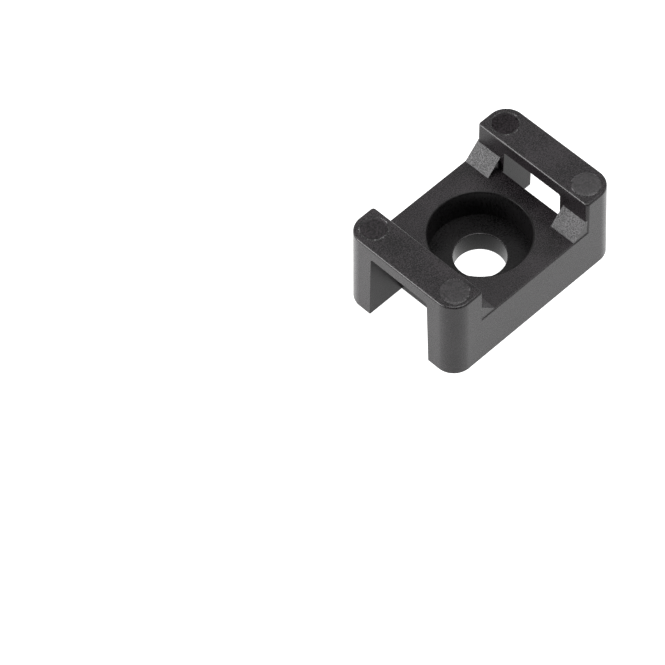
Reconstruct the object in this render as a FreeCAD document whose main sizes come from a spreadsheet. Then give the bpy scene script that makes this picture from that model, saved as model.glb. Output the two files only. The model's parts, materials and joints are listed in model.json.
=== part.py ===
import FreeCAD, Part
import os
import Sketcher
from FreeCAD import Vector

# Screw-down saddle mount for cable ties, moulded in black nylon as one piece.
# X runs along the tie, from one rail to the other, and Y along the rails.
# Z is up. The origin is the centre of the footprint, on the face that meets the panel.

# Driving dimensions in millimetres, with angles in degrees: alias, value, what it is.
SIZES = [
    ("mount_length", 15.2, "footprint along the tie"),
    ("mount_width", 10.1, "footprint along the rails"),
    ("mount_height", 6.9, "panel face to the top of the rails"),
    ("corner_radius", 1.4, "upright corners of the footprint"),
    ("outer_draft", 0.7, "taper of what the upper half of the mould forms"),
    ("deck_height", 4.0, "panel face to the deck that the tie lies over"),
    ("rail_width", 2.8, "end of the footprint to the inner face of a rail, at the deck"),
    ("rail_thickness", 1.0, "bar of each rail above its window"),
    ("rail_edge_radius", 0.25, "upright inner edges of the rails"),
    ("rail_rim_radius", 0.2, "rims of the rail tops"),
    ("deck_edge_radius", 0.1, "long edges of the deck"),
    ("slot_width", 5.34, "tie slot at the panel face"),
    ("slot_corner_radius", 0.15, "ceiling corners of the tie slot"),
    ("core_draft", 1.5, "taper of what the lower half of the mould forms"),
    ("core_overlap", 0.01, "how far the slot runs past the rail face at the top of its window"),
    ("gusset_height", 1.14, "rise of each gusset above the deck"),
    ("gusset_length", 1.13, "run of each gusset along the deck"),
    ("gusset_setback", 0.29, "strip of rail face between a window and the gusset beside it"),
    ("gusset_inset", 0.12, "step from the long side to the outer flank of a gusset"),
    ("gusset_root", 0.2, "run of each gusset that is buried in the rail and under the deck"),
    ("screw_hole", 3.6, "clearance hole for the screw"),
    ("hole_rim", 0.07, "broken edge of the screw hole at the seat"),
    ("head_recess", 6.9, "round recess for the screw head"),
    ("recess_rim", 0.13, "broken edge of the recess at the deck"),
    ("seat_thickness", 1.67, "plastic left under the screw head"),
    ("pin_mark", 1.9, "round mark of each ejector pin on the rail tops"),
    ("pin_mark_height", 0.05, "how far a pin mark stands proud"),
    ("pin_inset_end", 1.5, "end of the footprint to the centre of a pin mark"),
    ("pin_inset_side", 1.4, "long side of the footprint to the centre of a pin mark"),
    ("cut_overrun", 1.0, "how far a cut starts outside the face that it opens"),
]

# Places that follow from the sizes, as formulas of the sheet.
HALF_LENGTH = "(Sizes.mount_length / 2)"
HALF_WIDTH = "(Sizes.mount_width / 2)"
HALF_SADDLE = f"({HALF_LENGTH} - Sizes.rail_width)"
RAIL_UNDERSIDE = "(Sizes.mount_height - Sizes.rail_thickness)"
TOP = "Sizes.mount_height"
DECK = "Sizes.deck_height"

FULL_TURN = 360.0
TOUCH = 0.001

doc = FreeCAD.newDocument("CableTieMount")


def fill_sheet():
    """Writes the driving dimensions, one row each, with an alias that formulas can use."""
    made = doc.addObject("Spreadsheet::Sheet", "Sizes")
    for row, (alias, value, meaning) in enumerate(SIZES, start=1):
        made.set(f"A{row}", meaning)
        made.set(f"B{row}", str(value))
        made.setAlias(f"B{row}", alias)
    doc.recompute()
    return made


sheet = fill_sheet()
body = doc.addObject("PartDesign::Body", "Mount")
body.Label = "cable_tie_mount"


def worth(formula):
    """The present value of a formula of the sheet."""
    return float(sheet.evalExpression(formula.replace("Sizes.", "")))


def origin_plane(role):
    """One of the body's own three base planes."""
    return next(item for item in body.Origin.OriginFeatures if item.Role == role)


def profile(name, corners, lift="0", shift="0"):
    """A closed outline in the side view, moved off the XZ plane and along X.

    Each corner is its name and two formulas, its place along X and its height.
    """
    sketch = body.newObject("Sketcher::SketchObject", name)
    sketch.AttachmentSupport = [(origin_plane("XZ_Plane"), "")]
    sketch.MapMode = "FlatFace"
    sketch.setExpression(".AttachmentOffset.Base.x", shift)
    sketch.setExpression(".AttachmentOffset.Base.z", lift)
    spots = [Vector(worth(across), worth(up), 0) for _, across, up in corners]
    for start, end in zip(spots, spots[1:] + spots[:1]):
        sketch.addGeometry(Part.LineSegment(start, end), False)
    for line, (corner, across, up) in enumerate(corners):
        before = (line - 1) % len(corners)
        sketch.addConstraint(Sketcher.Constraint("Coincident", before, 2, line, 1))
        for kind, formula in (("DistanceX", across), ("DistanceY", up)):
            rule = sketch.addConstraint(Sketcher.Constraint(kind, -1, 1, line, 1, worth(formula)))
            sketch.renameConstraint(rule, f"{corner}_{kind[-1]}")
            sketch.setExpression(f"Constraints.{corner}_{kind[-1]}", formula)
    return sketch


def extruded(kind, name, sketch, length):
    """A pad or pocket of a profile over a length."""
    made = body.newObject(f"PartDesign::{kind}", name)
    made.Profile = sketch
    made.setExpression("Length", length)
    return made


def turned(kind, name, sketch):
    """A full turn of a profile about the upright axis of its sketch."""
    made = body.newObject(f"PartDesign::{kind}", name)
    made.Profile = sketch
    made.ReferenceAxis = (sketch, ["V_Axis"])
    made.Angle = FULL_TURN
    return made


def frustum(kind, name, height, base, top):
    """A drafted block or core standing on the panel face, given by its plan at both levels.

    A plan is four formulas: its least and greatest X, and its least and greatest Y.
    """
    made = body.newObject(f"PartDesign::{kind}Wedge", name)
    made.AttachmentSupport = [(origin_plane("XZ_Plane"), "")]
    made.MapMode = "FlatFace"
    limits = dict(zip(("Xmin", "Xmax", "Zmin", "Zmax"), base))
    limits.update(zip(("X2min", "X2max", "Z2min", "Z2max"), top))
    limits.update(Ymin="0", Ymax=height)
    for limit, formula in limits.items():
        setattr(made, limit, worth(formula))
        made.setExpression(limit, formula)
    return made


def mirrored(name, roles, originals):
    """Some features again on the other side of one base plane, or of each of two in turn."""
    doc.recompute()
    made = body.newObject("PartDesign::MultiTransform", name)
    made.Originals = originals
    mirrors = []
    for role in roles:
        mirror = body.newObject("PartDesign::Mirrored", f"{name}Across{role[:2]}")
        mirror.MirrorPlane = (origin_plane(role), [""])
        mirrors.append(mirror)
    made.Transformations = mirrors
    body.Tip = made


def rounded(name, radius, low, high, wanted=lambda edge: True):
    """Fillets every edge of the body so far that runs from one height to another."""
    doc.recompute()
    base = body.Tip
    names = []
    for number, edge in enumerate(base.Shape.Edges, start=1):
        heights = [corner.Z for corner in edge.Vertexes]
        rises = abs(min(heights) - worth(low)) < TOUCH and abs(max(heights) - worth(high)) < TOUCH
        if rises and wanted(edge):
            names.append(f"Edge{number}")
    made = body.newObject("PartDesign::Fillet", name)
    made.Base = (base, names)
    made.setExpression("Radius", radius)


def along_tie(edge):
    """Whether an edge goes further along the tie than across it."""
    first, last = edge.Vertexes[0], edge.Vertexes[-1]
    return abs(first.X - last.X) > abs(first.Y - last.Y)


def make_blank():
    """The outer form: a block with drafted sides and rounded upright corners."""
    top_x = f"({HALF_LENGTH} - {TOP} * tan(Sizes.outer_draft))"
    top_y = f"({HALF_WIDTH} - {TOP} * tan(Sizes.outer_draft))"
    foot_plan = (f"-{HALF_LENGTH}", HALF_LENGTH, f"-{HALF_WIDTH}", HALF_WIDTH)
    top_plan = (f"-{top_x}", top_x, f"-{top_y}", top_y)
    frustum("Additive", "Blank", TOP, foot_plan, top_plan)
    rounded("Corners", "Sizes.corner_radius", "0", TOP)


def cut_saddle():
    """The cut across the top that leaves a rail at each end, with its edges broken."""
    mouth_z = f"({TOP} + Sizes.cut_overrun)"
    mouth_x = f"({HALF_SADDLE} + ({mouth_z} - {DECK}) * tan(Sizes.outer_draft))"
    side_view = profile("SaddleProfile", [
        ("deck_left", f"-{HALF_SADDLE}", DECK),
        ("deck_right", HALF_SADDLE, DECK),
        ("mouth_right", mouth_x, mouth_z),
        ("mouth_left", f"-{mouth_x}", mouth_z),
    ])
    saddle = extruded("Pocket", "Saddle", side_view, "Sizes.mount_width + 2 * Sizes.cut_overrun")
    saddle.Midplane = True
    rounded("RailEdges", "Sizes.rail_edge_radius", DECK, TOP)
    rounded("RailRims", "Sizes.rail_rim_radius", TOP, TOP)
    rounded("DeckEdges", "Sizes.deck_edge_radius", DECK, DECK, along_tie)


def cut_tie_slots():
    """The slot under each rail, open below and at the end, that meets the saddle as a window."""
    wall_top = f"({HALF_SADDLE} - Sizes.core_overlap)"
    wall_foot = f"({wall_top} - {RAIL_UNDERSIDE} * tan(Sizes.core_draft))"
    outside = f"({HALF_LENGTH} + Sizes.cut_overrun)"
    foot_y = "(Sizes.slot_width / 2)"
    top_y = f"({foot_y} - {RAIL_UNDERSIDE} * tan(Sizes.core_draft))"
    foot_plan = (wall_foot, outside, f"-{foot_y}", foot_y)
    top_plan = (wall_top, outside, f"-{top_y}", top_y)
    slot = frustum("Subtractive", "TieSlot", RAIL_UNDERSIDE, foot_plan, top_plan)
    mirrored("BothTieSlots", ["YZ_Plane"], [slot])
    rounded("SlotCorners", "Sizes.slot_corner_radius", RAIL_UNDERSIDE, RAIL_UNDERSIDE, along_tie)


def cut_screw_bore():
    """The screw hole and the recess for its head, turned as one stepped profile."""
    hole, recess = "Sizes.screw_hole / 2", "Sizes.head_recess / 2"
    mouth = f"{recess} + Sizes.recess_rim"
    bore = profile("BoreProfile", [
        ("axis_low", "0", "-Sizes.cut_overrun"),
        ("hole_low", hole, "-Sizes.cut_overrun"),
        ("hole_high", hole, "Sizes.seat_thickness - Sizes.hole_rim"),
        ("seat_inner", f"{hole} + Sizes.hole_rim", "Sizes.seat_thickness"),
        ("seat_outer", recess, "Sizes.seat_thickness"),
        ("recess_high", recess, f"{DECK} - Sizes.recess_rim"),
        ("mouth_low", mouth, DECK),
        ("mouth_high", mouth, f"{DECK} + Sizes.cut_overrun"),
        ("axis_high", "0", f"{DECK} + Sizes.cut_overrun"),
    ])
    turned("Groove", "ScrewBore", bore)


def make_gusset():
    """One gusset, sloping from the deck up to the inner face of a rail beside its window."""
    toe_x = f"{HALF_SADDLE} - Sizes.gusset_length"
    buried = "Sizes.gusset_root * Sizes.gusset_height / Sizes.gusset_length"
    inner_y = f"(Sizes.slot_width / 2 - {DECK} * tan(Sizes.core_draft) + Sizes.gusset_setback)"
    outer_y = f"({HALF_WIDTH} - {DECK} * tan(Sizes.outer_draft) - Sizes.gusset_inset)"
    side_view = profile("GussetProfile", [
        ("toe", f"{toe_x} - Sizes.gusset_root", f"{DECK} - {buried}"),
        ("heel", f"{HALF_SADDLE} + Sizes.gusset_root", f"{DECK} - {buried}"),
        ("head", f"{HALF_SADDLE} + Sizes.gusset_root", f"{DECK} + Sizes.gusset_height + {buried}"),
    ], lift=inner_y)
    return extruded("Pad", "Gusset", side_view, f"{outer_y} - {inner_y}")


def make_pin_mark():
    """One shallow disc with a bevelled rim, where an ejector pin met the top of a rail."""
    proud, radius = "Sizes.pin_mark_height", "Sizes.pin_mark / 2"
    disc = profile("PinMarkProfile", [
        ("axis_low", "0", f"{TOP} - {proud}"),
        ("foot", f"{radius} + {proud}", f"{TOP} - {proud}"),
        ("rim", f"{radius} - {proud}", f"{TOP} + {proud}"),
        ("axis_high", "0", f"{TOP} + {proud}"),
    ], lift=f"{HALF_WIDTH} - Sizes.pin_inset_side", shift=f"{HALF_LENGTH} - Sizes.pin_inset_end")
    return turned("Revolution", "PinMark", disc)


def check_and_write():
    """Stops if anything failed to build, then writes the solid under the name of its node."""
    doc.recompute()
    for item in doc.Objects:
        if "Invalid" in item.State or "Error" in item.State:
            raise RuntimeError(f"{item.Label} failed to build")
    solid = body.Shape
    if solid.isNull() or not solid.isValid() or len(solid.Solids) != 1:
        raise RuntimeError(f"{body.Label} is not one valid solid")
    os.makedirs("parts", exist_ok=True)
    solid.exportStep(os.path.join("parts", f"{body.Label}.step"))
    print(f"{body.Label}: {solid.Volume:.1f} mm3, {len(solid.Faces)} faces")


make_blank()
cut_saddle()
cut_tie_slots()
cut_screw_bore()
mirrored("FourCorners", ["XZ_Plane", "YZ_Plane"], [make_gusset(), make_pin_mark()])
check_and_write()
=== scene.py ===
"""Dresses a moulded nylon cable tie mount and sets it on a pale studio table.

The mount is shaped again from solids, as its mould shapes it: a drafted block, cut by a saddle, two
slots and a stepped bore, with four gussets joined on, its edges broken as the real one's are, and four
ejector pin marks raised from its rails or sunk into them. X runs from rail to rail, Y along the rails,
and Z is up from the panel. Sizes are metres, as in the frame, and the solids are worked in millimetres,
because a bevel's tolerances suit larger numbers.
"""
import json
import math
from types import SimpleNamespace

import bmesh
import bpy
from bpy.props import FloatProperty, FloatVectorProperty, IntProperty, PointerProperty
from mathutils import Matrix, Vector, noise


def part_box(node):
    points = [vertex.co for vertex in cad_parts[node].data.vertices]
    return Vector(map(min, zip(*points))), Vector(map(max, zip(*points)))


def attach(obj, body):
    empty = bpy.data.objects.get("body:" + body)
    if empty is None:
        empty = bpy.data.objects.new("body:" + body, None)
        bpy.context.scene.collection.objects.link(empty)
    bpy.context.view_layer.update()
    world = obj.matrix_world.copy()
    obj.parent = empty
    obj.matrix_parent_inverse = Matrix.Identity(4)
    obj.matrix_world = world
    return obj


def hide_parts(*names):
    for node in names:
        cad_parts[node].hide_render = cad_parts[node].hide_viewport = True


bl_info = {
    "name": "Cable Tie Mount",
    "version": (1, 0, 0),
    "blender": (4, 5, 0),
    "location": "3D View > Sidebar > Tie Mount",
    "description": "Shapes and finishes a moulded cable tie mount and its studio table",
    "category": "Object",
}

NODE = "cable_tie_mount"
MM = 0.001
WHITE = (1, 1, 1, 1)
QUARTER_TURN = math.radians(90)

# A bend above the first angle is a corner, and one below the second is flat.
CORNER = math.radians(30)
FLAT = math.radians(0.05)

# In millimetres: points closer than the first are one, and edges shorter than the second are specks.
SAME = 0.00001
SPECK = 0.001

# The least share of a face's normal, or of an edge, that has to lie along an axis for it to run that way.
FACING = 0.99
RUNNING = 0.8

# How far up the sloping face of a gusset looks, at least and at most.
GUSSET_SLOPE = (0.5, 0.9)

# The profile of a bevel that is an arc.
ARC = 0.5

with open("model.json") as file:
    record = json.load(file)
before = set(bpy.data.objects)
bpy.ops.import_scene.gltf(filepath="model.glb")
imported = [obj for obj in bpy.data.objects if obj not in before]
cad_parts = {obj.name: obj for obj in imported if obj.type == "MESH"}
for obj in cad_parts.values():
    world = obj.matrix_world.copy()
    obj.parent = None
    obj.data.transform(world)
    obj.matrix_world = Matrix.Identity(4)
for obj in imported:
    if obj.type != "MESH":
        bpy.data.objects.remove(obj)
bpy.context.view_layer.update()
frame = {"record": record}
LOW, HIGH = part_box(NODE)
BORES = {mount["name"]: mount for mount in frame["record"]["mounts"] if mount["kind"] == "bore"}
HOLE, RECESS = BORES["screw_hole"], BORES["head_recess"]

# The height of the pin marks in the frame, and the share of it that keeps them inside the frame's box.
PIN_PROUD = 0.05 * MM
PIN_SHARE = 0.98


def wall_end(bore, side):
    """The height of a bore's wall at its lower end, side -1, or its upper end, side 1."""
    return bore["pos_m"][2] + side * bore["dims"]["length_mm"] * MM / 2


def length(name, default, description):
    """A length that a user can change."""
    return FloatProperty(name=name, description=description, default=default, unit="LENGTH", precision=5)


def angle(name, degrees, description):
    """An angle that a user can change."""
    return FloatProperty(name=name, description=description, default=math.radians(degrees), subtype="ANGLE")


def number(name, default, description):
    """A number without a unit that a user can change."""
    return FloatProperty(name=name, description=description, default=default)


def count(name, default, least, description):
    """A number of flats that a user can change."""
    return IntProperty(name=name, description=description, default=default, min=least)


def colour(name, default, description):
    """A colour that a user can change."""
    return FloatVectorProperty(
        name=name, description=description, default=default, subtype="COLOR", min=0, max=1, precision=5)


class TieMountShape(bpy.types.PropertyGroup):
    """The sizes of the moulding."""

    length: length("Length", HIGH.x - LOW.x, "Footprint from rail to rail")
    width: length("Width", HIGH.y - LOW.y, "Footprint along the rails")
    height: length("Height", HIGH.z - PIN_PROUD, "Panel face to the top of the rails")
    corner: length("Corner radius", 1.4 * MM, "Upright corners of the footprint")
    outer_draft: angle("Outer draft", 0.7, "Taper of what the upper half of the mould forms")
    core_draft: angle("Core draft", 1.5, "Taper of what the lower half of the mould forms")
    deck: length("Deck height", 4.0 * MM, "Panel face to the deck between the rails")
    rail: length("Rail width", 2.8 * MM, "End of the footprint to the inner face of a rail, at the deck")
    rail_bar: length("Rail thickness", 1.0 * MM, "Bar of each rail above its window")
    rail_edge: length("Rail edge radius", 0.25 * MM, "Upright inner edges of the rails")
    rail_rim: length("Rail rim radius", 0.15 * MM, "Rims of the rail tops")
    deck_edge: length("Deck edge radius", 0.1 * MM, "Long edges of the deck")
    fine_edge: length("Fine edge radius", 0.03 * MM, "Edges that the mould leaves nearly sharp")
    slot: length("Slot width", 5.34 * MM, "Slot under a rail, at the panel face")
    slot_corner: length("Slot corner radius", 0.15 * MM, "Ceiling corners of a slot")
    core_overlap: length("Core overlap", 0.01 * MM, "How far a slot runs past the rail face at its ceiling")
    gusset_height: length("Gusset height", 1.14 * MM, "Rise of each gusset above the deck")
    gusset_length: length("Gusset length", 1.13 * MM, "Run of each gusset along the deck")
    gusset_setback: length("Gusset setback", 0.29 * MM, "Strip of rail face between window and gusset")
    gusset_inset: length("Gusset inset", 0.06 * MM, "Step from the long side to the flank of a gusset")
    gusset_root: length("Gusset root", 0.2 * MM, "Run of each gusset that is buried")
    hole: length("Hole radius", HOLE["dims"]["r_mm"] * MM, "Clearance hole through the seat")
    hole_wall: length("Hole wall", wall_end(HOLE, 1), "Panel face to the broken edge of the hole")
    recess: length("Recess radius", RECESS["dims"]["r_mm"] * MM, "Round recess above the seat")
    seat: length("Seat height", wall_end(RECESS, -1), "Panel face to the seat, the bottom of the recess")
    recess_wall: length("Recess wall", wall_end(RECESS, 1), "Panel face to the broken edge of the recess")
    overrun: length("Overrun", 1.0 * MM, "How far a cut starts outside the face that it opens")
    turn_steps: count("Turn steps", 24, 4, "Flats in a quarter turn")
    edge_steps: count("Edge steps", 6, 2, "Flats across a rounded edge")
    rail_edge_steps: count("Rail edge steps", 8, 2, "Flats across an upright inner edge of a rail")
    hole_edge_steps: count("Hole edge steps", 4, 2, "Flats across the worn edge of the hole")
    fine_steps: count("Fine steps", 3, 1, "Flats across a nearly sharp edge")


class TieMountPinMarks(bpy.types.PropertyGroup):
    """The round marks that four ejector pins leave on the rails."""

    diameter: length("Diameter", 1.9 * MM, "Width of a mark")
    proud: length("Height", PIN_SHARE * PIN_PROUD, "How far a mark stands proud at most")
    from_end: length("From end", 1.5 * MM, "End of the footprint to the centre of a mark")
    from_side: length("From side", 1.4 * MM, "Long side of the footprint to the centre of a mark")
    ridge: length("Ridge width", 0.09 * MM, "Flash that the gap round a pin leaves")
    dish: length("Dish", 0.06 * MM, "How far the face of a sunk mark lies below the rail's top")
    wobble: length("Wobble", 0.02 * MM, "How unevenly the ridge runs")
    turn_steps: count("Turn steps", 24, 4, "Flats in a quarter turn")


class TieMountColours(bpy.types.PropertyGroup):
    """The colours that the nylon's grain runs between. The bore's pair is darkened as painted shade, the
    gusset slopes' pair is partly lightened as painted light, and the flash's lightest colour is painted
    glints.
    """

    dark: colour("Dark", (0.0006, 0.0004, 0.0005), "Outer faces at their darkest")
    light: colour("Light", (0.0150, 0.0125, 0.0142), "Outer faces at their lightest")
    # Deep and Dim run darker than Dark and Light: painted shade in the recess, seat and hole.
    deep: colour("Deep", (0.0004, 0.0004, 0.0004), "Recess and hole at their darkest")
    dim: colour("Dim", (0.0080, 0.0074, 0.0078), "Recess and hole at their lightest")
    # Raw and Pale run far lighter than Dark and Light: partly the greyer look of the eroded slopes, partly
    # painted light standing in for the softbox's brightness on them.
    raw: colour("Raw", (0.0020, 0.0017, 0.0020), "Gusset slopes at their darkest")
    pale: colour("Pale", (0.0520, 0.0495, 0.0520), "Gusset slopes at their lightest")
    # The flash's lightest colour is a painted highlight: its scattered bright specks stand in for glints
    # along the ridge.
    glint: colour("Glint", (0.1100, 0.1060, 0.1100), "Flash at its lightest")


class TieMountStage(bpy.types.PropertyGroup):
    """The camera, the table and the light."""

    azimuth: angle("Azimuth", -42.77, "Turn of the camera about the mount")
    elevation: angle("Elevation", 53.43, "Height of the camera above the table")
    roll: angle("Roll", -2.29, "Turn of the camera about its own line of sight")
    distance: length("Distance", 281.4 * MM, "Camera to the mount")
    aim_height: length("Aim height", 3.03 * MM, "Height in the mount that the aim is measured from")
    aim_left: length("Aim left", 9.665 * MM, "How far left of the mount the camera aims")
    aim_down: length("Aim down", 5.871 * MM, "How far below the mount the camera aims")
    nearest: length("Nearest", 0.01, "The least distance that the camera sees at")
    lens: number("Lens", 232.7, "Focal length in millimetres")
    sensor: number("Sensor", 36.0, "Sensor width in millimetres")
    table_reach: length("Table reach", 1.0, "Middle of the table to its sides")
    table_gap: length("Table gap", 0.02 * MM, "How far the table lies below the panel face")
    table_shade: number("Table shade", 0.25, "Share of the light that the table sends back")
    table_roughness: number("Table roughness", 0.8, "Roughness of the table")
    table_glow: number("Table glow", 1.15, "Light that the table gives")
    surround: number("Surround", 1.05, "Light of the white tent")
    roof_light: number("Roof light", 8.0, "Light through the tent's roof")
    roof_azimuth: angle("Roof azimuth", -56, "Way to the middle of the roof light, from X towards Y")
    roof_elevation: angle("Roof elevation", 80, "Height of the middle of the roof light")
    roof_inner: angle("Roof inner angle", 12, "Middle of the roof light to where it starts to fade")
    roof_outer: angle("Roof outer angle", 24, "Middle of the roof light to its end")
    opening_light: number("Opening light", 0.1, "Light in the tent's opening")
    opening_azimuth: angle("Opening azimuth", -133, "Way to the middle of the opening, from X towards Y")
    opening_elevation: angle("Opening elevation", 32, "Height of the middle of the opening")
    opening_inner: angle("Opening inner angle", 20, "Middle of the opening to where it starts to fade")
    opening_outer: angle("Opening outer angle", 45, "Middle of the opening to the lit tent")
    softbox_azimuth: angle("Softbox azimuth", 151, "Way to the softbox, from X towards Y")
    softbox_elevation: angle("Softbox elevation", 24, "Height of the softbox above the table")
    softbox_distance: length("Softbox distance", 0.32, "Softbox to the mount")
    softbox_size: length("Softbox size", 0.2, "Side of the softbox")
    softbox_power: number("Softbox power", 1.8, "Power of the softbox in watts")


def in_millimetres(group):
    """A group's values by name, with its lengths in millimetres."""
    values = {}
    for name, definition in group.bl_rna.properties.items():
        value = getattr(group, name)
        values[name] = value / MM if getattr(definition, "unit", "") == "LENGTH" else value
    return SimpleNamespace(**values)


def quarter(steps):
    """The angles of a quarter turn in even steps."""
    return [QUARTER_TURN * step / steps for step in range(steps + 1)]


def rounded_plan(half_length, half_width, radius, height, steps):
    """A rectangle with rounded corners at one height, anticlockwise."""
    points = []
    for turn, (along_x, along_y) in enumerate(((1, 1), (-1, 1), (-1, -1), (1, -1))):
        centre = Vector((along_x * (half_length - radius), along_y * (half_width - radius), height))
        for swing in quarter(steps):
            swing += QUARTER_TURN * turn
            points.append(centre + radius * Vector((math.cos(swing), math.sin(swing), 0)))
    return points


def circle(radius, height, steps):
    """A circle about the middle of the mount at one height, anticlockwise."""
    turns = [QUARTER_TURN * step / steps for step in range(4 * steps)]
    return [Vector((radius * math.cos(turn), radius * math.sin(turn), height)) for turn in turns]


def loft(name, rings, finish):
    """A closed solid through rings of as many points each, all in one finish."""
    bm = bmesh.new()
    levels = [[bm.verts.new(point) for point in ring] for ring in rings]
    for low, high in zip(levels, levels[1:]):
        for here in range(len(low)):
            after = (here + 1) % len(low)
            bm.faces.new((low[here], low[after], high[after], high[here]))
    bm.faces.new(levels[0][::-1])
    bm.faces.new(levels[-1])
    bmesh.ops.recalc_face_normals(bm, faces=bm.faces)
    mesh = bpy.data.meshes.new(name)
    bm.to_mesh(mesh)
    bm.free()
    mesh.materials.append(finish)
    solid = bpy.data.objects.new(name, mesh)
    bpy.context.scene.collection.objects.link(solid)
    return solid


def combine(body, tool, operation):
    """Joins a tool to the body or cuts it away. The new faces keep the tool's finish."""
    modifier = body.modifiers.new(operation.title(), "BOOLEAN")
    modifier.operation = operation
    modifier.object = tool
    modifier.solver = "EXACT"
    modifier.material_mode = "TRANSFER"
    depsgraph = bpy.context.evaluated_depsgraph_get()
    combined = bpy.data.meshes.new_from_object(body.evaluated_get(depsgraph))
    bm = bmesh.new()
    bm.from_mesh(combined)
    bmesh.ops.dissolve_degenerate(bm, dist=SPECK, edges=bm.edges)
    bm.to_mesh(combined)
    bm.free()
    body.modifiers.clear()
    body.data = combined
    bpy.data.objects.remove(tool)


def is_closed(body):
    """Whether every edge of the body joins two faces."""
    bm = bmesh.new()
    bm.from_mesh(body.data)
    closed = len(bm.faces) > 0 and all(edge.is_manifold for edge in bm.edges)
    bm.free()
    return closed


def is_corner(edge):
    """Whether an edge stands out and is too sharp to be a step of a round."""
    return edge.is_manifold and edge.is_convex and edge.calc_face_angle() > CORNER


def at_height(edge, height):
    """Whether an edge lies at one height."""
    return all(abs(vert.co.z - height) < SPECK for vert in edge.verts)


def along(edge, axis):
    """Whether an edge runs mostly along one axis."""
    way = (edge.verts[1].co - edge.verts[0].co).normalized()
    return abs(getattr(way, axis)) > RUNNING


def parts_finishes(edge):
    """Whether the faces on the two sides of an edge have different finishes."""
    return len({face.material_index for face in edge.link_faces}) > 1


def soften(body, radius, steps, wanted):
    """Rounds the corners of the body that a test picks."""
    bm = bmesh.new()
    bm.from_mesh(body.data)
    bmesh.ops.remove_doubles(bm, verts=bm.verts, dist=SAME)
    bmesh.ops.dissolve_limit(
        bm, angle_limit=FLAT, verts=bm.verts, edges=bm.edges, delimit={"MATERIAL", "NORMAL"})
    edges = [edge for edge in bm.edges if is_corner(edge) and wanted(edge)]
    bmesh.ops.bevel(
        bm, geom=edges, offset=radius, offset_type="OFFSET", segments=steps, profile=ARC,
        affect="EDGES", clamp_overlap=False, loop_slide=True, material=-1)
    bm.to_mesh(body.data)
    bm.free()


def make_block(size, finish):
    """The outer form: a block with drafted sides and rounded upright corners."""
    lean = size.height * math.tan(size.outer_draft)
    half_length, half_width = size.length / 2, size.width / 2
    foot = rounded_plan(half_length, half_width, size.corner, 0, size.turn_steps)
    top = rounded_plan(half_length - lean, half_width - lean, size.corner, size.height, size.turn_steps)
    return loft("tie_mount_moulding", [foot, top], finish)


def make_saddle(size, finish):
    """The cut that leaves a rail at each end, made of sections that carry the rounds beside it.

    Going in from a long side, the ends of the cut draw in by the round of the rails' upright edges,
    and its floor comes up by the round of the deck's long edge.
    """
    taper = math.tan(size.outer_draft)
    half_saddle = size.length / 2 - size.rail
    mouth = size.height + size.overrun
    insets = {size.rail_edge * (1 - math.sin(turn)) for turn in quarter(size.rail_edge_steps)}
    insets |= {size.deck_edge * (1 - math.sin(turn)) for turn in quarter(size.edge_steps)}

    def leftover(radius, inset):
        """How far a round still stands off from the corner that it breaks."""
        reach = max(radius - max(inset, 0), 0)
        return radius - math.sqrt(radius * radius - reach * reach)

    def section(side, inset):
        """The cut's outline at one distance in from a long side."""
        flare = leftover(size.rail_edge, inset)
        floor = size.deck - leftover(size.deck_edge, inset)
        outline = []
        for height, end in ((floor, -1), (floor, 1), (mouth, 1), (mouth, -1)):
            x = half_saddle + flare + (height - size.deck) * taper
            y = size.width / 2 - height * taper - inset
            outline.append(Vector((end * x, side * y, height)))
        return outline

    inward = [-size.overrun, *sorted(insets)]
    sections = [section(1, inset) for inset in inward] + [section(-1, inset) for inset in reversed(inward)]
    return loft("saddle", sections, finish)


def make_slot(size, end, finish):
    """The slot under one rail, open below and at the end, that meets the saddle as a window."""
    taper = math.tan(size.core_draft)
    ceiling = size.height - size.rail_bar
    rings = []
    for height in (-size.overrun, ceiling):
        wall = size.length / 2 - size.rail - size.core_overlap - (ceiling - height) * taper
        outside = size.length / 2 + size.overrun
        half = size.slot / 2 - height * taper
        plan = ((outside, half), (wall, half), (wall, -half), (outside, -half))
        rings.append([Vector((end * x, y, height)) for x, y in plan])
    slot = loft("slot", rings, finish)
    soften(
        slot, size.slot_corner, size.edge_steps, lambda edge: at_height(edge, ceiling) and along(edge, "x"))
    return slot


def worn_rim(radius, wall, face, steps):
    """The outline of a bore's worn edge, from the end of its wall out to the face around it."""
    wear = face - wall
    return [
        (radius + wear * (1 - math.cos(turn)), face - wear * (1 - math.sin(turn)))
        for turn in quarter(steps)]


def make_bore(size, finish):
    """The stepped bore: a clearance hole below a wider recess, with their worn edges."""
    hole_rim = worn_rim(size.hole, size.hole_wall, size.seat, size.hole_edge_steps)
    recess_rim = worn_rim(size.recess, size.recess_wall, size.deck, size.edge_steps)
    mouth = (recess_rim[-1][0], size.deck + size.overrun)
    outline = ((size.hole, -size.overrun), *hole_rim, (size.recess, size.seat), *recess_rim, mouth)
    return loft("bore", [circle(radius, height, size.turn_steps) for radius, height in outline], finish)


def make_gusset(size, end, side, finish):
    """One gusset, sloping from the deck up to the inner face of a rail beside its window."""
    saddle = size.length / 2 - size.rail
    buried = size.gusset_root * size.gusset_height / size.gusset_length
    low = size.deck - buried
    heel = saddle + size.gusset_root
    profile = (
        (saddle - size.gusset_length - size.gusset_root, low), (heel, low),
        (heel, size.deck + size.gusset_height + buried))
    inner = size.slot / 2 - size.deck * math.tan(size.core_draft) + size.gusset_setback
    outer = size.width / 2 - size.deck * math.tan(size.outer_draft) - size.gusset_inset
    flanks = [[Vector((end * x, side * y, z)) for x, z in profile] for y in (inner, outer)]
    return loft("gusset", flanks, finish)


def pad_profile(marks):
    """A pad, where the pin stood back: steps out from its edge, rise and unevenness, inwards."""
    full, edge = marks.proud, marks.ridge
    return (
        (edge * 0.4, -full, 0.0),
        (edge * 0.4, 0.0, 0.3),
        (0.0, full * 0.6, 0.3),
        (-edge, full * 0.9, 0.2),
        (-edge * 4, full, 0.0))


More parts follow.
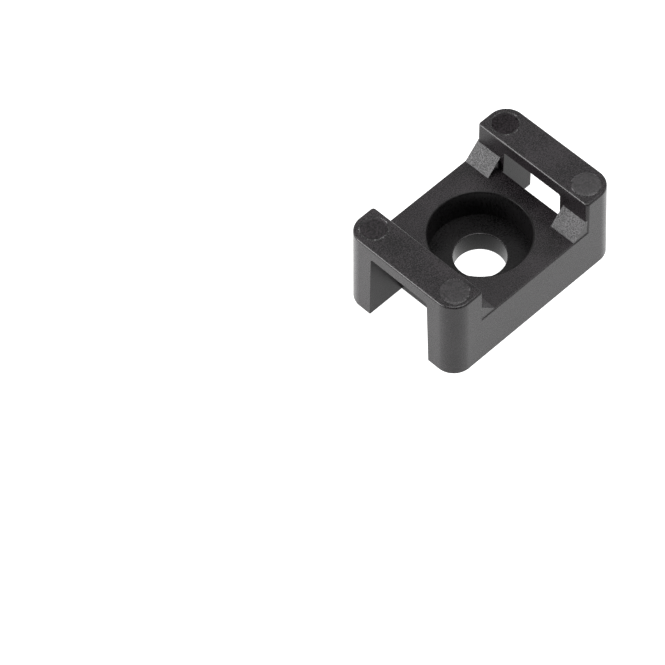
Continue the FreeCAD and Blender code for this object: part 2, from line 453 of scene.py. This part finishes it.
def flash_profile(marks):
    """The ridge of flash that the gap round a pin leaves: the same steps, inwards and into the rail."""
    full, edge = marks.proud, marks.ridge
    return (
        (edge * 0.9, -full, 0.0),
        (edge * 0.7, 0.0, 0.3),
        (edge * 0.2, full * 0.8, 1.0),
        (-edge * 0.1, full, 1.0),
        (-edge * 0.4, full * 0.7, 1.0),
        (-edge * 0.7, -full * 0.3, 0.3),
        (-edge * 0.7, -full * 0.6, 0.0))


def dish_profile(marks):
    """The dish inside the flash, where the pin stood out, as a cut: the same steps, inwards and down."""
    full, edge, deep = marks.proud, marks.ridge, marks.dish
    return (
        (-edge * 0.2, full * 2, 0.0),
        (-edge * 0.35, full * 0.4, 0.6),
        (-edge * 1.4, -deep * 0.75, 0.3),
        (-edge * 2.4, -deep, 0.0))


# The waves in a ridge of flash: how closely they follow each other round it, and how strong they are.
BROAD_WAVES = 2
FINE_WAVES = 7
FINE_STRENGTH = 0.7
GAP_WAVES = 12
GAP_STRENGTH = 1.2
BROAD_STRENGTH = 0.9

# The share of a ridge's height that is missing in most places, and at most.
USUAL_GAP = 0.7
LARGEST_GAP = 0.95


def waver(centre, way):
    """How far a ridge strays outwards at one place round it, as a share of its wobble."""
    return noise.noise(centre + way * BROAD_WAVES) + FINE_STRENGTH * noise.noise(centre - way * FINE_WAVES)


def gap(centre, way):
    """The share of a ridge's height that is missing at one place round it."""
    broad = BROAD_STRENGTH * noise.noise(centre * BROAD_WAVES + way * BROAD_WAVES)
    missing = USUAL_GAP + broad + GAP_STRENGTH * noise.noise(centre - way * GAP_WAVES)
    return min(max(missing, 0), LARGEST_GAP)


def make_pin_mark(size, marks, end, side, profile, finish):
    """One form of a pin mark, turned from a profile whose edge runs unevenly and comes and goes."""
    centre = Vector((
        end * (size.length / 2 - marks.from_end), side * (size.width / 2 - marks.from_side), 0))
    rings = []
    for out, rise, uneven in profile:
        ring = []
        for step in range(4 * marks.turn_steps):
            turn = QUARTER_TURN * step / marks.turn_steps
            way = Vector((math.cos(turn), math.sin(turn), 0))
            stray = waver(centre, way) * uneven * marks.wobble
            sag = uneven * max(rise, 0) * gap(centre, way)
            ring.append(centre + way * (marks.diameter / 2 + out + stray))
            ring[-1].z = size.height + rise - sag
        rings.append(ring)
    return loft("pin_mark", rings, finish)


class Value:
    """A number that changes from place to place. Sums written with it add their Math nodes."""

    def __init__(self, nodes, socket):
        self.nodes = nodes
        self.socket = socket

    def reckon(self, operation, first, second):
        """The result of one Math node."""
        return self.nodes.add("ShaderNodeMath", {"operation": operation}, {0: first, 1: second})

    def __add__(self, other):
        return self.reckon("ADD", self, other)

    def __sub__(self, other):
        return self.reckon("SUBTRACT", self, other)

    def __rsub__(self, other):
        return self.reckon("SUBTRACT", other, self)

    def __mul__(self, other):
        return self.reckon("MULTIPLY", self, other)

    __radd__ = __add__
    __rmul__ = __mul__


# The roughness of the noise patterns, and the value that lies in their middle.
NOISE_ROUGHNESS = 0.55
NOISE_MIDDLE = 0.5


class Nodes:
    """The nodes of a material or a world."""

    def __init__(self, tree):
        self.tree = tree

    def add(self, kind, settings, inputs, output=0):
        """Adds a node: first its settings, then the values or links of its sockets."""
        node = self.tree.nodes.new(kind)
        for name, setting in settings.items():
            setattr(node, name, setting)
        for name, given in inputs.items():
            self.feed(node.inputs[name], given)
        return Value(self, node.outputs[output])

    def feed(self, socket, given):
        """Gives a socket a value or a link."""
        if isinstance(given, Value):
            self.tree.links.new(given.socket, socket)
        else:
            socket.default_value = given

    def place(self, stretch):
        """Where a point lies on the mount, in millimetres, with the pattern drawn out along an axis."""
        coordinates = self.add("ShaderNodeTexCoord", {}, {}, "Object")
        scale = [1 / (MM * drawn_out) for drawn_out in stretch]
        return self.add("ShaderNodeVectorMath", {"operation": "MULTIPLY"}, {0: coordinates, 1: scale})

    def noise(self, place, grain, detail):
        """Steady noise about zero, with specks of a given size in millimetres."""
        fine = {"Vector": place, "Scale": 1 / grain, "Detail": detail, "Roughness": NOISE_ROUGHNESS}
        return self.add("ShaderNodeTexNoise", {}, fine, "Fac") - NOISE_MIDDLE

    def mix(self, share, first, second):
        """A colour between two colours. A Mix node has its colours in sockets 6 and 7 and gives it in 2."""
        inputs = {0: share, 6: (*first, 1), 7: (*second, 1)}
        return self.add("ShaderNodeMix", {"data_type": "RGBA"}, inputs, 2)

    def patch(self, way, inner, outer):
        """A soft round patch of the sky: one about a way, and nothing outside its outer angle."""
        direction = self.add("ShaderNodeTexCoord", {}, {}, "Generated")
        vectors = {0: direction, 1: way}
        near = self.add("ShaderNodeVectorMath", {"operation": "DOT_PRODUCT"}, vectors, "Value")
        fade = {"Value": near, "From Min": math.cos(outer), "From Max": math.cos(inner)}
        return self.add("ShaderNodeMapRange", {"interpolation_type": "SMOOTHSTEP"}, fade, "Result")


# What the grain and the clouds do to the roughness, and how high the clouds are beside the grain.
GRAIN_ROUGHNESS = 0.3
CLOUD_ROUGHNESS = 0.1
CLOUD_RELIEF = 0.1

# How many finer layers of noise lie on the grain and on the clouds.
GRAIN_DETAIL = 2
CLOUD_DETAIL = 3

# The refractive index that gives the skin of the moulding its weak shine.
SKIN_IOR = 1.36


def black_nylon(
        name, dark, light, gloss, roughness, grain, relief, cloud=2.5, speckle=4.0, cloudy=1.5, level=0.5,
        stretch=(1, 1, 1)):
    """Moulded black nylon.

    Its colour runs from dark to light over the grain and the clouds that the melt leaves; where the two
    colours given carry painted shade, light or glints, the grain spreads that too. Grain and cloud are
    their sizes in millimetres, speckle and cloudy say how strongly they show, and level is the share of
    light between them. Relief is the height of the grain in millimetres, gloss is the strength of the
    reflections, and stretch draws the pattern out along an axis.
    """
    material = bpy.data.materials.new(name)
    material.use_nodes = True
    nodes = Nodes(material.node_tree)
    shader = material.node_tree.nodes["Principled BSDF"].inputs
    place = nodes.place(stretch)
    grains = nodes.noise(place, grain, GRAIN_DETAIL)
    clouds = nodes.noise(place, cloud, CLOUD_DETAIL)
    nodes.feed(shader["Base Color"], nodes.mix(grains * speckle + clouds * cloudy + level, dark, light))
    nodes.feed(shader["Roughness"], grains * GRAIN_ROUGHNESS + clouds * CLOUD_ROUGHNESS + roughness)
    bump = {"Strength": 1.0, "Distance": relief * MM, "Height": grains + clouds * CLOUD_RELIEF}
    nodes.feed(shader["Normal"], nodes.add("ShaderNodeBump", {}, bump))
    shader["IOR"].default_value = SKIN_IOR
    shader["Specular IOR Level"].default_value = gloss
    return material


def make_finishes(colours):
    """The finishes of the nylon by name: what the parts of the mould leave, with painted shade in the
    recess, seat and hole, painted light partly on the gusset slopes, and painted glints on the flash.
    """
    shell = (colours.dark, colours.light)
    # The recess, seat and hole take the darker pair, which paints shade into the bore.
    bore_shade = (colours.deep, colours.dim)
    return {
        "outer": black_nylon("outer_nylon", *shell, gloss=0.5, roughness=0.28, grain=0.07, relief=0.011),
        "inner": black_nylon("inner_nylon", *shell, gloss=0.24, roughness=0.30, grain=0.07, relief=0.011),
        "core": black_nylon(
            "core_nylon", *shell, gloss=0.22, roughness=0.34, grain=0.09, relief=0.010, speckle=3),
        "recess": black_nylon(
            "recess_nylon", *bore_shade, gloss=0.12, roughness=0.30, grain=0.10, relief=0.002, speckle=2,
            stretch=(1, 1, 3)),
        "seat": black_nylon(
            "seat_nylon", *bore_shade, gloss=0.3, roughness=0.30, grain=0.12, relief=0.002, speckle=1.5),
        "hole": black_nylon(
            "hole_nylon", *bore_shade, gloss=0.21, roughness=0.25, grain=0.10, relief=0.002, speckle=2,
            stretch=(1, 1, 3)),
        # The gusset slopes' pale colour is partly eroded texture and partly painted light.
        "gusset": black_nylon(
            "eroded_and_lit_nylon", colours.raw, colours.pale, gloss=1.0, roughness=0.45, grain=0.09, relief=0.08,
            speckle=7),
        "underside": black_nylon(
            "ground_nylon", *shell, gloss=0.5, roughness=0.34, grain=0.08, relief=0.002, speckle=2,
            stretch=(3, 1, 1)),
        # The flash's bright specks are painted glints.
        "flash": black_nylon(
            "flash_glint_nylon", colours.dark, colours.glint, gloss=0.6, roughness=0.28, grain=0.07, relief=0.02,
            cloud=1.0, speckle=10, cloudy=8, level=-1.2),
    }


def pin_finish(name, colours, gloss):
    """The mottled face that an ejector pin leaves."""
    return black_nylon(
        name, colours.dark, colours.light, gloss=gloss, roughness=0.4, grain=0.12, relief=0.035, cloud=0.5,
        speckle=5)


# What each pin left, and how glossy it is, by the end and the long side that the mark lies near.
PAD, DISH = (pad_profile, "UNION"), (dish_profile, "DIFFERENCE")
PIN_LOOKS = {(1, 1): (DISH, 0.1), (1, -1): (PAD, 0.72), (-1, 1): (DISH, 0.26), (-1, -1): (PAD, 0.6)}


def finish_faces(body, size, finishes):
    """Sets the finishes that parts of the same cut or block have to themselves."""
    for material in finishes.values():
        if material.name not in body.data.materials:
            body.data.materials.append(material)
    names = [material.name for material in body.data.materials]
    index = {finish: names.index(material.name) for finish, material in finishes.items()}
    slope_low, slope_high = GUSSET_SLOPE
    for face in body.data.polygons:
        height, up = face.center.z, face.normal.z
        inward = -face.normal.x * math.copysign(1, face.center.x)
        if face.material_index == index["outer"] and up < -FACING:
            face.material_index = index["underside"]
        elif face.material_index == index["outer"] and inward > FACING:
            face.material_index = index["inner"]
        elif face.material_index == index["gusset"] and not slope_low < up < slope_high:
            face.material_index = index["outer"]
        elif face.material_index == index["recess"] and height < size.hole_wall:
            face.material_index = index["hole"]
        elif face.material_index == index["recess"] and height < size.seat - SAME:
            face.material_index = index["outer"]
        elif face.material_index == index["recess"] and up > FACING:
            face.material_index = index["seat"]


class TIEMOUNT_OT_moulding(bpy.types.Operator):
    """Shapes the moulding from its solids and breaks its edges"""

    bl_idname = "tie_mount.moulding"
    bl_label = "Moulding"

    def execute(self, context):
        size = in_millimetres(context.scene.tie_mount_shape)
        marks = in_millimetres(context.scene.tie_mount_pin_marks)
        colours = context.scene.tie_mount_colours
        finishes = make_finishes(colours)
        body = make_block(size, finishes["outer"])
        combine(body, make_saddle(size, finishes["outer"]), "DIFFERENCE")
        soften(body, size.rail_rim, size.edge_steps, lambda edge: at_height(edge, size.height))
        for end in (-1, 1):
            combine(body, make_slot(size, end, finishes["core"]), "DIFFERENCE")
        combine(body, make_bore(size, finishes["recess"]), "DIFFERENCE")
        for end in (-1, 1):
            for side in (-1, 1):
                combine(body, make_gusset(size, end, side, finishes["gusset"]), "UNION")
        soften(
            body, size.fine_edge, size.fine_steps,
            lambda edge: at_height(edge, 0) or parts_finishes(edge))
        for (end, side), ((profile, operation), gloss) in PIN_LOOKS.items():
            face = pin_finish(f"pin_nylon_{len(body.data.materials)}", colours, gloss)
            ridge = make_pin_mark(size, marks, end, side, flash_profile(marks), finishes["flash"])
            combine(body, ridge, "UNION")
            combine(body, make_pin_mark(size, marks, end, side, profile(marks), face), operation)
        if not is_closed(body):
            raise RuntimeError("The cuts left the moulding open")
        finish_faces(body, size, finishes)
        body.data.transform(Matrix.Scale(MM, 4))
        body.data.shade_smooth()
        body.data.set_sharp_from_angle(angle=CORNER)
        body.modifiers.new("Shading", "WEIGHTED_NORMAL").keep_sharp = True
        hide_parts(NODE)
        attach(body, "root")
        return {"FINISHED"}


def towards(azimuth, elevation):
    """The way to a light, turned from X towards Y and raised above the table."""
    level = math.cos(elevation)
    return Vector((math.cos(azimuth) * level, math.sin(azimuth) * level, math.sin(elevation)))


def set_camera(scene, stage):
    """Looks down on the mount from the corner that the photograph shows."""
    azimuth, elevation, roll = stage.azimuth, stage.elevation, stage.roll
    back = Vector((
        math.sin(azimuth) * math.cos(elevation), -math.cos(azimuth) * math.cos(elevation),
        math.sin(elevation)))
    level = Vector((0, 0, 1)).cross(back).normalized()
    rise = back.cross(level)
    right = level * math.cos(roll) + rise * math.sin(roll)
    up = rise * math.cos(roll) - level * math.sin(roll)
    aim = Vector((0, 0, stage.aim_height)) - right * stage.aim_left - up * stage.aim_down
    optics = bpy.data.cameras.new("camera")
    optics.lens = stage.lens
    optics.sensor_width = stage.sensor
    optics.clip_start = stage.nearest
    camera = bpy.data.objects.new("camera", optics)
    scene.collection.objects.link(camera)
    turned = Matrix((right, up, back)).transposed().to_4x4()
    camera.matrix_world = Matrix.Translation(aim + back * stage.distance) @ turned
    scene.camera = camera


def lay_table(scene, stage):
    """A pale table that also glows, so that the mount's sides are lit from below."""
    bm = bmesh.new()
    bmesh.ops.create_grid(bm, x_segments=1, y_segments=1, size=stage.table_reach)
    mesh = bpy.data.meshes.new("table")
    bm.to_mesh(mesh)
    bm.free()
    table = bpy.data.objects.new("table", mesh)
    table.location.z = -stage.table_gap
    scene.collection.objects.link(table)
    material = bpy.data.materials.new("table")
    material.use_nodes = True
    shader = material.node_tree.nodes["Principled BSDF"].inputs
    shader["Base Color"].default_value = (*[stage.table_shade] * 3, 1)
    shader["Specular IOR Level"].default_value = 0
    shader["Roughness"].default_value = stage.table_roughness
    shader["Emission Color"].default_value = WHITE
    shader["Emission Strength"].default_value = stage.table_glow
    mesh.materials.append(material)


def set_softbox(scene, stage):
    """The softbox, which faces the mount."""
    light = bpy.data.lights.new("softbox", "AREA")
    light.size = stage.softbox_size
    light.energy = stage.softbox_power
    softbox = bpy.data.objects.new("softbox", light)
    scene.collection.objects.link(softbox)
    way = towards(stage.softbox_azimuth, stage.softbox_elevation)
    facing = way.to_track_quat("Z", "Y").to_matrix().to_4x4()
    softbox.matrix_world = Matrix.Translation(way * stage.softbox_distance) @ facing


def light_tent(scene, stage):
    """The white tent around the table, with a light in its roof and an opening on the camera's side."""
    world = bpy.data.worlds.new("studio")
    scene.world = world
    world.use_nodes = True
    nodes = Nodes(world.node_tree)
    to_opening = towards(stage.opening_azimuth, stage.opening_elevation)
    to_roof = towards(stage.roof_azimuth, stage.roof_elevation)
    opening = nodes.patch(to_opening, stage.opening_inner, stage.opening_outer)
    roof = nodes.patch(to_roof, stage.roof_inner, stage.roof_outer)
    background = world.node_tree.nodes["Background"].inputs
    background["Color"].default_value = WHITE
    dimmed = stage.opening_light - stage.surround
    nodes.feed(background["Strength"], opening * dimmed + roof * stage.roof_light + stage.surround)
    scene.view_settings.view_transform = "Standard"


class TIEMOUNT_OT_stage(bpy.types.Operator):
    """Lays the table, lights it and sets the camera"""

    bl_idname = "tie_mount.stage"
    bl_label = "Stage"

    def execute(self, context):
        for set_up in (set_camera, lay_table, set_softbox, light_tent):
            set_up(context.scene, context.scene.tie_mount_stage)
        return {"FINISHED"}


class TIEMOUNT_PT_sidebar(bpy.types.Panel):
    """Lists the moulding and the stage, each with its values"""

    bl_label = "Tie Mount"
    bl_space_type = "VIEW_3D"
    bl_region_type = "UI"
    bl_category = "Tie Mount"

    def draw(self, context):
        for operator, groups in (
                (TIEMOUNT_OT_moulding, ("tie_mount_shape", "tie_mount_pin_marks", "tie_mount_colours")),
                (TIEMOUNT_OT_stage, ("tie_mount_stage",))):
            self.layout.operator(operator.bl_idname)
            for group in groups:
                box = self.layout.box()
                for name in GROUPS[group].__annotations__:
                    box.prop(getattr(context.scene, group), name)


GROUPS = {
    "tie_mount_shape": TieMountShape,
    "tie_mount_pin_marks": TieMountPinMarks,
    "tie_mount_colours": TieMountColours,
    "tie_mount_stage": TieMountStage,
}
CLASSES = (*GROUPS.values(), TIEMOUNT_OT_moulding, TIEMOUNT_OT_stage, TIEMOUNT_PT_sidebar)


def register():
    for each in CLASSES:
        bpy.utils.register_class(each)
    for name, group in GROUPS.items():
        setattr(bpy.types.Scene, name, PointerProperty(type=group))


def unregister():
    for name in GROUPS:
        delattr(bpy.types.Scene, name)
    for each in reversed(CLASSES):
        bpy.utils.unregister_class(each)


def main():
    register()
    bpy.ops.tie_mount.moulding()
    bpy.ops.tie_mount.stage()


if __name__ == "__main__":
    main()
